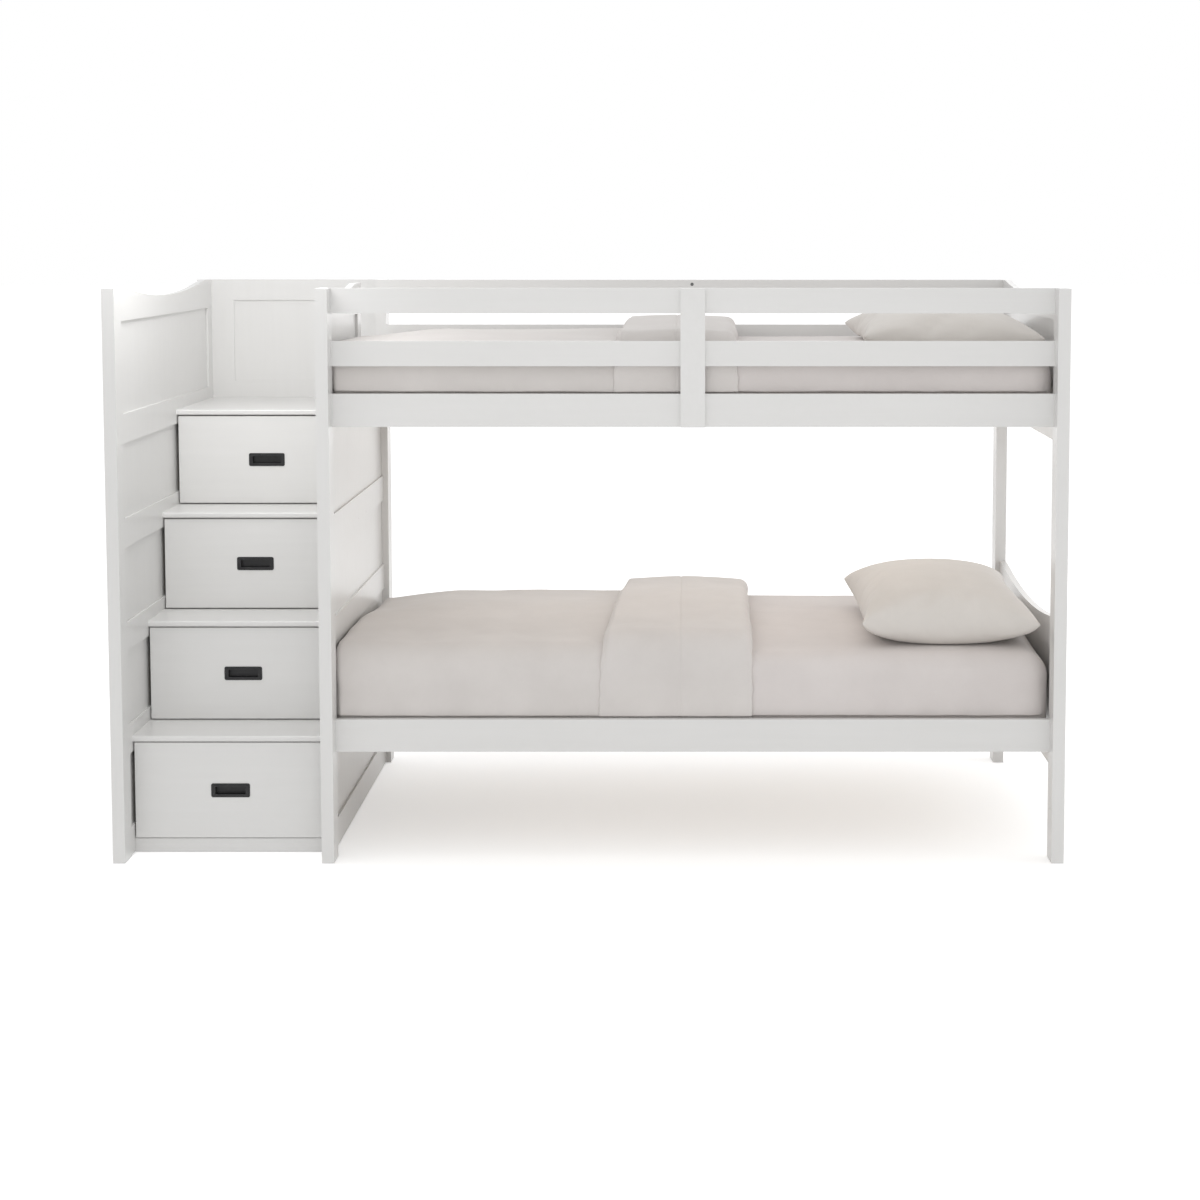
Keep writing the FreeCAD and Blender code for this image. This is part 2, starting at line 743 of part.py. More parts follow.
def pillow_plan(half_x, half_y, z):
    """Outline from above: four corners with the sides drawn in between them."""
    front_left = Vector(-half_x, -half_y, z)
    front_right = Vector(half_x, -half_y, z)
    rear_right = Vector(half_x, half_y, z)
    rear_left = Vector(-half_x, half_y, z)
    front = arc(front_left, Vector(0, pillow_draw_in - half_y, z), front_right)
    right = arc(front_right, Vector(half_x - pillow_draw_in, 0, z), rear_right)
    rear = arc(rear_right, Vector(0, half_y - pillow_draw_in, z), rear_left)
    left = arc(rear_left, Vector(pillow_draw_in - half_x, 0, z), front_left)
    return Part.Face(Part.Wire([front, right, rear, left]))


def pillow(centre, under, over):
    """A pillow: what its two crowned profiles and its drawn-in plan have in common."""
    half_x = pillow_width / 2
    half_y = pillow_length / 2
    height = under + over + pillow_seam
    across = crowned_profile(half_x, under, over, lambda reach, z: Vector(reach, -half_y, z))
    along = crowned_profile(half_y, under, over, lambda reach, z: Vector(-half_x, reach, z))
    shape = across.extrude(Vector(0, pillow_length, 0))
    shape = shape.common(along.extrude(Vector(pillow_width, 0, 0)))
    plan = pillow_plan(half_x, half_y, -under - pillow_seam / 2)
    shape = shape.common(plan.extrude(Vector(0, 0, height)))
    shape.translate(centre)
    return shape.Solids[0]


def bedding():
    bunks = (
        ("upper", upper_side_rail_bottom, upper_mattress_height, upper_pillow_over),
        ("lower", lower_side_rail_bottom, lower_mattress_height, lower_pillow_over),
    )
    crown_share = pillow_towards_front / (mattress_half_width - mattress_shoulder_radius)
    for bunk, rail_bottom, height, pillow_over in bunks:
        low = rail_bottom + ledger_height + slat_thickness + soft_clearance
        hem_z = rail_bottom + side_rail_height + duvet_hem_above_rail
        rest_z = low + height - mattress_crown * crown_share ** 2 + soft_clearance
        pillow_z = rest_z + pillow_under + pillow_seam / 2
        pillow_centre = Vector(mattress_x[1] - pillow_from_foot, -pillow_towards_front, pillow_z)
        save(bunk + "_mattress", mattress(low, height, 0))
        save(bunk + "_duvet", *duvet(low, height, hem_z))
        save(bunk + "_pillow", pillow(pillow_centre, pillow_under, pillow_over))


os.makedirs("parts", exist_ok=True)
bolt_holes = rail_bolts()
side_wall()
middle_wall(bolt_holes)
foot_end(bolt_holes)
stair_back()
steps()
drawers()
bed_rails(bolt_holes + guard_nuts())
slat_beds()
bedding()
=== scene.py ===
import math

import bmesh
import bpy
from mathutils import Matrix, Vector, noise


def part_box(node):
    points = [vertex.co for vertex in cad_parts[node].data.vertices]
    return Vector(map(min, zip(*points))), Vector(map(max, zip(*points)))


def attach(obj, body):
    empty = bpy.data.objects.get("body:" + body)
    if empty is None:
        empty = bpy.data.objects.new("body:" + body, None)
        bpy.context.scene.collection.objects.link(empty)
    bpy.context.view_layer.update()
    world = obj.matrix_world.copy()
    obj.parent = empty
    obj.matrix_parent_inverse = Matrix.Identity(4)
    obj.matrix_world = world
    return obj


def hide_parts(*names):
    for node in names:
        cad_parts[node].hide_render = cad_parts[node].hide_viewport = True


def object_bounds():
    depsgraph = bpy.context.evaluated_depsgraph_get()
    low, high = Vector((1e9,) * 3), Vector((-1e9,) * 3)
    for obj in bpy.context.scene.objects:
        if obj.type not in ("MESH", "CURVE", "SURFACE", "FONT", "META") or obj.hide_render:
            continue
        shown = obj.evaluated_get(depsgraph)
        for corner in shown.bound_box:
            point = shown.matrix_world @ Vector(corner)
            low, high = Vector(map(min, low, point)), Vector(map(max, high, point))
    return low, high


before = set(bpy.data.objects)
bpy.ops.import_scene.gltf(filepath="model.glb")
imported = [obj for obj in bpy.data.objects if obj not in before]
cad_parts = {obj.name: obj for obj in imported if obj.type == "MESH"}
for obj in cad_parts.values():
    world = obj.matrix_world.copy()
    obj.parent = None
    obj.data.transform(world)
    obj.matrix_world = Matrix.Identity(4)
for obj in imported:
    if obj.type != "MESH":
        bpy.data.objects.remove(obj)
cad_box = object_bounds()
scene = bpy.context.scene
scene.view_settings.view_transform = "Standard"

bunks = ("lower", "upper")


# Materials

class Nodes:
    """A material's node tree, with short calls for the nodes used here."""

    def __init__(self, name):
        self.material = bpy.data.materials.new(name)
        self.material.use_nodes = True
        self.tree = self.material.node_tree
        self.shader = self.tree.nodes["Principled BSDF"]
        self.place = self.add("ShaderNodeTexCoord").outputs["Object"]

    def add(self, kind, **settings):
        node = self.tree.nodes.new(kind)
        for key, value in settings.items():
            setattr(node, key, value)
        return node

    def link(self, source, target):
        self.tree.links.new(source, target)

    def set(self, **values):
        for key, value in values.items():
            self.shader.inputs[key.replace("_", " ")].default_value = value

    def stretched(self, scale):
        """The object's coordinates, scaled on each axis."""
        mapping = self.add("ShaderNodeMapping")
        mapping.inputs["Scale"].default_value = scale
        self.link(self.place, mapping.inputs["Vector"])
        return mapping.outputs["Vector"]

    def noise(self, scale, detail=3.0, roughness=0.5, distortion=0.0, vector=None):
        node = self.add("ShaderNodeTexNoise")
        node.inputs["Scale"].default_value = scale
        node.inputs["Detail"].default_value = detail
        node.inputs["Roughness"].default_value = roughness
        node.inputs["Distortion"].default_value = distortion
        self.link(self.place if vector is None else vector, node.inputs["Vector"])
        return node.outputs["Fac"]

    def math(self, operation, first, second):
        node = self.add("ShaderNodeMath", operation=operation)
        for socket, value in zip(node.inputs, (first, second)):
            if isinstance(value, (int, float)):
                socket.default_value = value
            else:
                self.link(value, socket)
        return node.outputs[0]

    def ramp(self, source, *stops):
        """A colour or grey ramp through (position, colour) stops."""
        node = self.add("ShaderNodeValToRGB")
        elements = node.color_ramp.elements
        while len(elements) < len(stops):
            elements.new(0.5)
        for element, (position, colour) in zip(elements, stops):
            element.position = position
            element.color = (*colour, 1.0) if isinstance(colour, tuple) else (colour, colour, colour, 1.0)
        self.link(source, node.inputs["Fac"])
        return node.outputs["Color"]

    def blend(self, factor, first, second):
        node = self.add("ShaderNodeMix", data_type="RGBA")
        self.link(factor, node.inputs[0])
        self.link(first, node.inputs[6])
        self.link(second, node.inputs[7])
        return node.outputs[2]

    def span(self, source, low, high):
        """A value mapped from 0..1 to low..high."""
        node = self.add("ShaderNodeMapRange")
        node.inputs["To Min"].default_value = low
        node.inputs["To Max"].default_value = high
        self.link(source, node.inputs["Value"])
        return node.outputs["Result"]

    def colour(self, source):
        self.link(source, self.shader.inputs["Base Color"])

    def roughness(self, source, low, high):
        self.link(self.span(source, low, high), self.shader.inputs["Roughness"])

    def bump(self, height, distance, strength=1.0, under=None):
        node = self.add("ShaderNodeBump")
        node.inputs["Strength"].default_value = strength
        node.inputs["Distance"].default_value = distance
        self.link(height, node.inputs["Height"])
        if under is not None:
            self.link(under, node.inputs["Normal"])
        self.link(node.outputs["Normal"], self.shader.inputs["Normal"])
        return node.outputs["Normal"]


def painted_wood(name, grain_axis):
    """Satin white paint over wood, with a trace of brushwork along the boards."""
    nodes = Nodes(name)
    stretch = [46.0, 46.0, 46.0]
    stretch["XYZ".index(grain_axis)] = 2.2
    grain = nodes.noise(1.0, detail=5.0, roughness=0.6, distortion=0.4, vector=nodes.stretched(stretch))
    tone = nodes.noise(2.3, detail=2.0)
    mottle = nodes.math("ADD", nodes.math("MULTIPLY", grain, 0.45), nodes.math("MULTIPLY", tone, 0.55))
    nodes.colour(nodes.ramp(mottle, (0.25, (0.700, 0.695, 0.682)), (0.75, (0.738, 0.733, 0.723))))
    nodes.roughness(nodes.noise(34.0, detail=4.0), 0.26, 0.36)
    peel = nodes.noise(620.0, detail=1.0)
    under = nodes.bump(peel, 0.00010, 0.30)
    nodes.bump(grain, 0.00025, 0.25, under)
    nodes.set(Specular_IOR_Level=0.5, Coat_Weight=0.12, Coat_Roughness=0.22)
    return nodes.material


def bare_wood(name, grain_axis, early, late, ring_scale):
    """Planed bare wood with growth rings drawn out along the grain."""
    nodes = Nodes(name)
    stretch = [ring_scale, ring_scale, ring_scale]
    stretch["XYZ".index(grain_axis)] = ring_scale * 0.045
    rings = nodes.noise(1.0, detail=6.0, roughness=0.55, distortion=1.6, vector=nodes.stretched(stretch))
    fibres = [900.0, 900.0, 900.0]
    fibres["XYZ".index(grain_axis)] = 14.0
    fibre = nodes.noise(1.0, detail=2.0, vector=nodes.stretched(fibres))
    board = nodes.noise(1.7, detail=1.0)
    figure = nodes.ramp(rings, (0.32, early), (0.50, late), (0.60, early))
    shade = nodes.ramp(board, (0.3, tuple(value * 0.92 for value in early)), (0.7, early))
    nodes.colour(nodes.blend(nodes.span(fibre, 0.18, 0.42), figure, shade))
    nodes.roughness(fibre, 0.52, 0.70)
    nodes.bump(fibre, 0.0002, 0.4, nodes.bump(rings, 0.0004, 0.25))
    nodes.set(Specular_IOR_Level=0.3)
    return nodes.material


def powder_coat(name):
    """Matt black powder coat with its fine pebbled skin."""
    nodes = Nodes(name)
    pebble = nodes.noise(1500.0, detail=2.0)
    tone = nodes.noise(60.0, detail=3.0)
    nodes.colour(nodes.ramp(tone, (0.3, (0.010, 0.010, 0.011)), (0.7, (0.022, 0.022, 0.023))))
    nodes.roughness(tone, 0.42, 0.58)
    nodes.bump(pebble, 0.0001, 0.5)
    nodes.set(Metallic=0.25)
    return nodes.material


def plated_steel(name, dark, light):
    """Plated steel, with drawn lines along Y."""
    nodes = Nodes(name)
    lines = nodes.noise(1.0, detail=3.0, vector=nodes.stretched((1400.0, 9.0, 1400.0)))
    tone = nodes.noise(24.0, detail=4.0)
    nodes.colour(nodes.ramp(tone, (0.3, dark), (0.7, light)))
    nodes.roughness(lines, 0.26, 0.42)
    nodes.bump(lines, 0.00008, 0.4)
    nodes.set(Metallic=1.0)
    return nodes.material


def cotton(name, dark, light, thread):
    """Plain woven cotton: crossed threads, slubs, a soft tone change and sheen."""
    nodes = Nodes(name)
    across = nodes.noise(1.0, detail=2.0, vector=nodes.stretched((thread, thread * 0.04, thread * 0.04)))
    along = nodes.noise(1.0, detail=2.0, vector=nodes.stretched((thread * 0.04, thread, thread)))
    weave = nodes.math("MAXIMUM", across, along)
    tone = nodes.noise(5.5, detail=5.0, roughness=0.6)
    mixed = nodes.math("ADD", nodes.math("MULTIPLY", tone, 0.7), nodes.math("MULTIPLY", weave, 0.3))
    nodes.colour(nodes.ramp(mixed, (0.3, dark), (0.7, light)))
    nodes.roughness(weave, 0.78, 0.92)
    crumple = nodes.noise(38.0, detail=4.0, roughness=0.55, distortion=0.6)
    under = nodes.bump(crumple, 0.0014, 0.16)
    nodes.bump(weave, 0.0003, 0.35, under)
    nodes.set(Specular_IOR_Level=0.2, Sheen_Weight=0.22, Sheen_Roughness=0.5)
    return nodes.material


paint_x = painted_wood("white_paint_along_x", "X")
paint_y = painted_wood("white_paint_along_y", "Y")
paint_z = painted_wood("white_paint_upright", "Z")
pine = bare_wood("planed_pine", "Y", (0.74, 0.62, 0.47), (0.62, 0.47, 0.32), 34.0)
plywood = bare_wood("drawer_plywood", "Y", (0.74, 0.65, 0.50), (0.66, 0.55, 0.40), 22.0)
black_coat = powder_coat("black_powder_coat")
zinc = plated_steel("zinc_plate", (0.50, 0.51, 0.53), (0.66, 0.66, 0.67))
# Plain steel for the guard nuts made near black: painted shade for the shadow the nuts sit in at the back of
# their bores.
shade_darkened_steel = plated_steel("steel_darkened_as_painted_shade", (0.10, 0.10, 0.10), (0.17, 0.17, 0.17))
sheet_cotton = cotton("sheet_cotton", (0.648, 0.606, 0.588), (0.718, 0.676, 0.658), 2600.0)
duvet_cotton = cotton("duvet_cotton", (0.634, 0.602, 0.580), (0.704, 0.672, 0.650), 2400.0)
pillow_cotton = cotton("pillow_cotton", (0.665, 0.631, 0.594), (0.735, 0.701, 0.664), 2600.0)


# Rigid pieces: finish and eased edges

edge_angle = math.radians(40)
pull_edge = 0.0006
wood_edge = 0.0018


def longest_axis(node):
    low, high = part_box(node)
    size = high - low
    return "XYZ"[max(range(3), key=lambda axis: size[axis])]


def finish_for(node):
    if node.endswith("_pull"):
        return black_coat
    if node.endswith("_slides") or node in ("slide_channels", "rail_bolts"):
        return zinc
    # The guard nuts get steel darkened to near black as painted shade.
    if node == "guard_nuts":
        return shade_darkened_steel
    if node.endswith("_box"):
        return plywood
    if node in ("upper_slats", "lower_slats", "slat_ledgers"):
        return pine
    if node.endswith("_panels") or node.endswith("_panel"):
        return paint_z
    return {"X": paint_x, "Y": paint_y, "Z": paint_z}[longest_axis(node)]


def ease_edges(thing, width):
    bevel = thing.modifiers.new("eased_edges", "BEVEL")
    bevel.width = width
    bevel.segments = 2
    bevel.limit_method = "ANGLE"
    bevel.angle_limit = edge_angle


soft_nodes = [bunk + "_" + kind for bunk in bunks for kind in ("mattress", "duvet", "pillow")]
for node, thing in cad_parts.items():
    if node in soft_nodes:
        continue
    thing.data.materials.clear()
    thing.data.materials.append(finish_for(node))
    if node.endswith("_pull"):
        ease_edges(thing, pull_edge)
    elif finish_for(node) in (paint_x, paint_y, paint_z) and "panel" not in node:
        ease_edges(thing, wood_edge)


# Bedding

tuck_depth = 0.011
tuck_swell = 0.0045
end_sink = 0.026
end_sink_length = 0.24
rail_step = 0.0017


def mesh_piece(name, build, material):
    """A new object whose mesh is filled in by build."""
    shape = bmesh.new()
    build(shape)
    mesh = bpy.data.meshes.new(name)
    shape.to_mesh(mesh)
    shape.free()
    mesh.materials.append(material)
    for face in mesh.polygons:
        face.use_smooth = True
    piece = bpy.data.objects.new(name, mesh)
    scene.collection.objects.link(piece)
    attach(piece, "frame")
    return piece


def rumple(point, size, seed):
    """Smooth noise about -1..1 at a place, for folds of one size."""
    return noise.noise(point / size + Vector((seed, seed * 1.7, seed * 0.6)))


def ease(value, start, end):
    """0 before start, 1 after end and a smooth step between."""
    share = min(1.0, max(0.0, (value - start) / (end - start)))
    return share * share * (3 - 2 * share)


def tuck(x, below, seed):
    """How far bedding is drawn in behind a rail, after swelling over it unevenly along the rail."""
    along = Vector((x, 0, 0))
    uneven = 0.6 + 0.8 * rumple(along, 0.07, seed) + 0.5 * rumple(along, 0.021, seed + 2)
    drawn_in = tuck_depth * ease(below, -0.003 - 0.003 * uneven, 0.001)
    swell = tuck_swell * ease(below, -0.060, -0.010) * min(1.0, max(0.3, uneven))
    return drawn_in - swell


class Slab:
    """A padded slab's outer shape, and where a flat cloth's points come to lie on it."""

    def __init__(self, low, high, side_radius, end_radius, crown, squareness, open_right=False):
        self.low = low
        self.high = high
        self.side_radius = side_radius
        self.end_radius = end_radius
        self.crown = crown
        self.squareness = squareness
        self.middle_y = (low.y + high.y) / 2
        self.half_y = (high.y - low.y) / 2
        self.inner_left = low.x + end_radius
        self.inner_right = 1e9 if open_right else high.x - end_radius
        self.inner_y = self.half_y - side_radius

    def outside(self, x, y):
        """How far a flat point lies outside the slab's level top, and in which direction."""
        across = y - self.middle_y
        dx = min(0.0, x - self.inner_left) + max(0.0, x - self.inner_right)
        dy = min(0.0, across + self.inner_y) + max(0.0, across - self.inner_y)
        reach = max(abs(dx), abs(dy))
        if reach < 1e-9:
            return 0.0, 0.0, 0.0
        if abs(dx) >= abs(dy):
            angle = math.pi / 4 * abs(dy) / abs(dx)
        else:
            angle = math.pi / 2 - math.pi / 4 * abs(dx) / abs(dy)
        to_x = math.copysign(math.cos(angle) ** self.squareness, dx) if dx else 0.0
        to_y = math.copysign(math.sin(angle) ** self.squareness, dy) if dy else 0.0
        return reach, to_x, to_y

    def place(self, x, y, top_loft=0.0, side_loft=0.0, rise=0.0):
        """The point of the slab's skin under a flat point, lifted off it by a loft."""
        reach, to_x, to_y = self.outside(x, y)
        end_share = to_x ** 2 / max(1e-9, to_x ** 2 + to_y ** 2)
        radius = self.side_radius + (self.end_radius - self.side_radius) * end_share
        turn = min(reach / radius, math.pi / 2)
        drop = radius * (1 - math.cos(turn)) + max(0.0, reach - radius * math.pi / 2)
        across = min(self.inner_y, max(-self.inner_y, y - self.middle_y))
        along = min(self.inner_right, max(self.inner_left, x))
        dome = self.crown * math.cos(math.pi / 2 * across / self.inner_y) ** 2
        loft = top_loft + (side_loft - top_loft) * math.sin(turn) ** 2 + rise
        out = loft * math.sin(turn)
        return Vector((
            along + to_x * (self.end_radius * math.sin(turn) + out),
            self.middle_y + across + to_y * (self.side_radius * math.sin(turn) + out),
            self.high.z - self.crown + dome - drop + loft * math.cos(turn),
        ))


def skin_grid(shape, xs, ys, place):
    """Quads over a grid of flat points, each put in place by a function."""
    rows = [[shape.verts.new(place(x, y)) for y in ys] for x in xs]
    for row, following in zip(rows, rows[1:]):
        for near, far, far_next, near_next in zip(row, following, following[1:], row[1:]):
            shape.faces.new((near, far, far_next, near_next))
    return rows


def steps(start, end, size):
    count = max(2, round((end - start) / size))
    return [start + (end - start) * step / count for step in range(count + 1)]


def steps_across(slab, reach, rail_at, size):
    """Steps over a bed from hem to hem, closer together where the cloth meets the rails."""
    edge = slab.inner_y + reach
    line = slab.inner_y + rail_at
    close = [side * (line + offset * rail_step) for side in (-1, 1) for offset in range(-6, 4)]
    rough = [y for y in steps(-edge, edge, size) if min(abs(y - other) for other in close) > size * 0.35]
    return [slab.middle_y + y for y in sorted(rough + close)]


def sunk(point, slab):
    """Bedding sinks towards the wall at its left end, and is pushed up a little at the front corner."""
    height = (point.z - slab.low.z) / (slab.high.z - slab.low.z)
    at_end = 1 - ease(point.x, slab.low.x - 0.02, slab.low.x + end_sink_length)
    depth = end_sink * (1.5 * ease(point.y, slab.low.y, slab.low.y + 0.7) - 0.5)
    point.z -= depth * at_end * max(0.0, height) ** 2
    return point


def close_up(shape):
    """Fills what is still open and turns all faces outwards."""
    rim = [edge for edge in shape.edges if edge.is_boundary]
    bmesh.ops.holes_fill(shape, edges=rim, sides=0)
    bmesh.ops.recalc_face_normals(shape, faces=shape.faces)


# Mattresses in fitted sheets

sheet_grid = 0.014
sheet_radius = 0.055
sheet_end_radius = 0.065
sheet_crown = 0.014
sheet_squareness = 0.9
sheet_play = 0.0015


def fitted_sheet(bunk, seed):
    low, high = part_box(bunk + "_mattress")
    low = low + Vector((sheet_play, sheet_play, 0.0))
    high = high - Vector((sheet_play, sheet_play, 0.002))
    rail_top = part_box(bunk + "_front_rail")[1].z
    slab = Slab(low, high, sheet_radius, sheet_end_radius, sheet_crown, sheet_squareness)
    reach = sheet_radius * math.pi / 2 + (high.z - sheet_crown - sheet_radius - low.z)

    def place(x, y):
        point = slab.place(x, y)
        distance, to_x, to_y = slab.outside(x, y)
        side = ease(distance, sheet_radius * 0.6, sheet_radius * 1.7)
        flat = Vector((x, y, 0))
        soft = 0.0016 * rumple(flat, 0.21, seed) + 0.0007 * rumple(flat, 0.06, seed + 3)
        ripple = 0.0012 * rumple(Vector((x, y, distance * 0.25)), 0.05, seed + 7)
        point.z += soft * (1 - side)
        inward = -abs(ripple) * side
        point.x += to_x * inward
        point.y += to_y * inward
        point.y -= to_y * tuck(point.x, rail_top - point.z, seed)
        return sunk(point, slab)

    def build(shape):
        xs = steps(slab.inner_left - reach, slab.inner_right + reach, sheet_grid)
        rail_at = reach - (rail_top - low.z)
        skin_grid(shape, xs, steps_across(slab, reach, rail_at, sheet_grid), place)
        close_up(shape)

    piece = mesh_piece(bunk + "_fitted_sheet", build, sheet_cotton)
    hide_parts(bunk + "_mattress")
    return piece


# Duvets with their upper part folded back

duvet_step_x = 0.012
duvet_step_y = 0.0075
duvet_radius = 0.075
duvet_end_radius = 0.024
duvet_squareness = 0.68
duvet_extra_crown = 0.008
duvet_hem_below_rail = 0.016
lining_loft = 0.0006
body_loft = 0.026
body_side_loft = 0.0045
fold_loft = 0.068
fold_side_loft = 0.0085
fold_gap = 0.001
fold_turn = 0.030
hem_slant = 0.045
seam_share = 0.47
seam_depth = 0.0020
turn_steps = 10


def duvet(bunk, hem_x, seam_x, crease_x, seed):
    mattress_low, mattress_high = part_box(bunk + "_mattress")
    rail_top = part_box(bunk + "_front_rail")[1].z
    crown = sheet_crown + duvet_extra_crown
    slab = Slab(
        mattress_low, mattress_high, duvet_radius, duvet_end_radius, crown, duvet_squareness, open_right=True
    )
    side_drop = mattress_high.z - slab.crown - duvet_radius - (rail_top - duvet_hem_below_rail)
    reach = duvet_radius * math.pi / 2 + side_drop
    ys = steps_across(slab, reach, reach - duvet_hem_below_rail, duvet_step_y)
    start_x = slab.inner_left - reach

    def hem_at(y):
        wander = 0.006 * rumple(Vector((0, y, 0)), 0.10, seed + 11)
        scallop = 0.0046 * rumple(Vector((0, y, 0)), 0.026, seed + 13)
        return hem_x + hem_slant * (y - slab.middle_y) + wander + scallop

    def crease_at(y):
        wander = 0.005 * rumple(Vector((0, y, 0)), 0.12, seed + 17)
        scallop = 0.0044 * rumple(Vector((0, y, 0)), 0.027, seed + 19)
        return crease_x + 0.012 * (y - slab.middle_y) + wander + scallop

    def rumples(x, y, layer):
        """How far the skin stands off its smooth shape."""
        distance, to_x, to_y = slab.outside(x, y)
        side = ease(distance, duvet_radius * 0.7, duvet_radius * 1.8)
        flat = Vector((x, y, layer * 4.0))
        broad = 0.0034 * rumple(flat, 0.26, seed) + 0.0015 * rumple(flat, 0.09, seed + 5)
        creased = 0.0012 * abs(rumple(Vector((x * 1.7 + y, y * 0.6, layer)), 0.11, seed + 23))
        ripple = 0.0016 * rumple(Vector((x, y, distance * 0.2)), 0.07, seed + layer)
        return (broad - creased) * (1 - side) + (ripple - 0.0012) * side

    def tucked(point, to_y):
        point.y -= to_y * tuck(point.x, rail_top - point.z, seed - 20)
        return sunk(point, slab)

    def layer_point(x, y, top_loft, side_loft, layer):
        point = slab.place(x, y, top_loft, side_loft, rumples(x, y, layer))
        return tucked(point, slab.outside(x, y)[2])

    def under_point(x, y):
        return tucked(slab.place(x, y, lining_loft, lining_loft), slab.outside(x, y)[2])

    def turn_x(y):
        return crease_at(y) - fold_turn

    def body_station(share):
        def at(y):
            x = start_x + (turn_x(y) - start_x) * share
            return layer_point(x, y, body_loft, body_side_loft, 0)
        return at

    def under_station(share):
        return lambda y: under_point(start_x + (turn_x(y) - start_x) * share, y)

    def fold_under_station(share):
        def at(y):
            x = turn_x(y) + (hem_at(y) - turn_x(y)) * share
            return layer_point(x, y, body_loft + fold_gap, body_side_loft + 0.0004, 0)
        return at

    def fold_over_station(share):
        def at(y):
            if share < seam_share:
                x = hem_at(y) + (seam_x - hem_at(y)) * share / seam_share
            else:
                x = seam_x + (turn_x(y) - seam_x) * (share - seam_share) / (1 - seam_share)
            edge = 0.5 + 0.5 * ease(share, 0.0, 0.035)
            full = 0.80 + 0.20 * math.sin(math.pi * min(1.0, 0.12 + share * 0.80))
            groove = seam_depth * math.exp(-((share - seam_share) / 0.009) ** 2)
            top = body_loft + fold_gap + (fold_loft - body_loft - fold_gap) * edge * full
            side = body_side_loft + (fold_side_loft - body_side_loft) * edge
            return layer_point(x, y, top - groove, side - groove * 0.6, 1)
        return at

    def turn_station(angle):
        """The rounded turn of the fold, from its top down to the sheet."""
        def at(y):
            share = (1 + math.cos(angle)) / 2
            full = 0.80 + 0.20 * math.sin(math.pi * 0.92)
            top = body_loft + fold_gap + (fold_loft - body_loft - fold_gap) * full
            x = turn_x(y) + fold_turn * math.sin(angle)
            top_now = lining_loft + (top - lining_loft) * share
            side_now = lining_loft + (fold_side_loft - lining_loft) * share
            return layer_point(x, y, top_now, side_now, 1)
        return at

    body_count = round((crease_x - start_x) / duvet_step_x)
    fold_count = round((crease_x - hem_x) / duvet_step_x)
    shares = [step / fold_count for step in range(fold_count + 1)]
    shares += [0.008, 0.018, 0.045]
    shares += [seam_share + offset for offset in (-0.014, -0.007, 0.0, 0.007, 0.014)]
    stations = [body_station(step / body_count) for step in range(body_count + 1)]
    stations += [fold_under_station(step / fold_count) for step in range(fold_count + 1)]
    stations += [fold_over_station(share) for share in sorted(shares)]
    stations += [turn_station(math.pi * step / turn_steps) for step in range(1, turn_steps)]
    stations += [under_station(1 - step / body_count) for step in range(body_count + 1)]

    def build(shape):
        rows = [[shape.verts.new(station(y)) for y in ys] for station in stations]
        for row, following in zip(rows, rows[1:] + rows[:1]):
            for near, far, far_next, near_next in zip(row, following, following[1:], row[1:]):
                shape.faces.new((near, far, far_next, near_next))
        close_up(shape)

    piece = mesh_piece(bunk + "_duvet_cover", build, duvet_cotton)
    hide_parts(bunk + "_duvet")
    return piece


# Pillows, filled as cloth and left to settle

pillow_plan = (0.506, 0.664)
pillow_waist = 0.075
pillow_cells = (44, 58)
pillow_frames = 30
pillow_clearance = 0.004


def sewn_case(shape, centre, thickness):
    """A closed case: two faces sewn along their edges, already filled."""
    columns, rows = pillow_cells
    border = {}
    for side in (1, -1):
        grid = []
        for row in range(rows + 1):
            line = []
            for column in range(columns + 1):
                u = 2 * column / columns - 1
                v = 2 * row / rows - 1
                on_seam = column in (0, columns) or row in (0, rows)
                if on_seam and (column, row) in border:
                    line.append(border[column, row])
                    continue
                swell = side * thickness / 2 * math.sqrt((1 - u * u) * (1 - v * v))
                half_x = pillow_plan[0] / 2 * (1 - pillow_waist * (1 - v * v))
                half_y = pillow_plan[1] / 2 * (1 - pillow_waist * 0.8 * (1 - u * u))
                vert = shape.verts.new(centre + Vector((u * half_x, v * half_y, swell)))
                if on_seam:
                    border[column, row] = vert
                line.append(vert)
            grid.append(line)
        for lower, upper in zip(grid, grid[1:]):
            for a, b, c, d in zip(lower, lower[1:], upper[1:], upper):
                shape.faces.new((a, b, c, d) if side > 0 else (d, c, b, a))


def add_cloth(piece, rest, volume):
    """Cloth that keeps the lengths of a rest shape and is filled to a volume."""
    cloth = piece.modifiers.new("cloth", "CLOTH")
    settings = cloth.settings
    settings.rest_shape_key = rest
    settings.quality = 12
    settings.mass = 0.045
    settings.tension_stiffness = 60.0
    settings.compression_stiffness = 60.0
    settings.shear_stiffness = 36.0
    settings.bending_stiffness = 0.004
    settings.tension_damping = 10.0
    settings.air_damping = 1.0
    settings.use_pressure = True
    settings.use_pressure_volume = True
    settings.target_volume = volume
    settings.pressure_factor = 80.0
    cloth.collision_settings.distance_min = 0.003
    cloth.point_cache.frame_start = 1
    cloth.point_cache.frame_end = pillow_frames


def settle(piece, support):
    """Runs the cloth on its support and keeps the result as the piece's mesh."""
    support.modifiers.new("collision", "COLLISION")
    support.collision.thickness_outer = 0.003
    support.collision.cloth_friction = 20.0
    for number in range(1, pillow_frames + 1):
        scene.frame_set(number)
    settled = piece.evaluated_get(bpy.context.evaluated_depsgraph_get())
    mesh = bpy.data.meshes.new_from_object(settled)
    piece.modifiers.clear()
    piece.data = mesh
    support.modifiers.remove(support.modifiers["collision"])
    scene.frame_set(1)
    mesh.transform(Matrix.Translation((0.0, 0.0, -pillow_clearance)))


def press(piece, level, room):
    """Flattens the top of a pillow, which rises above a level by no more than some room."""
    for vert in piece.data.vertices:
        if vert.co.z > level:
            vert.co.z = level + room * math.tanh((vert.co.z - level) / room)


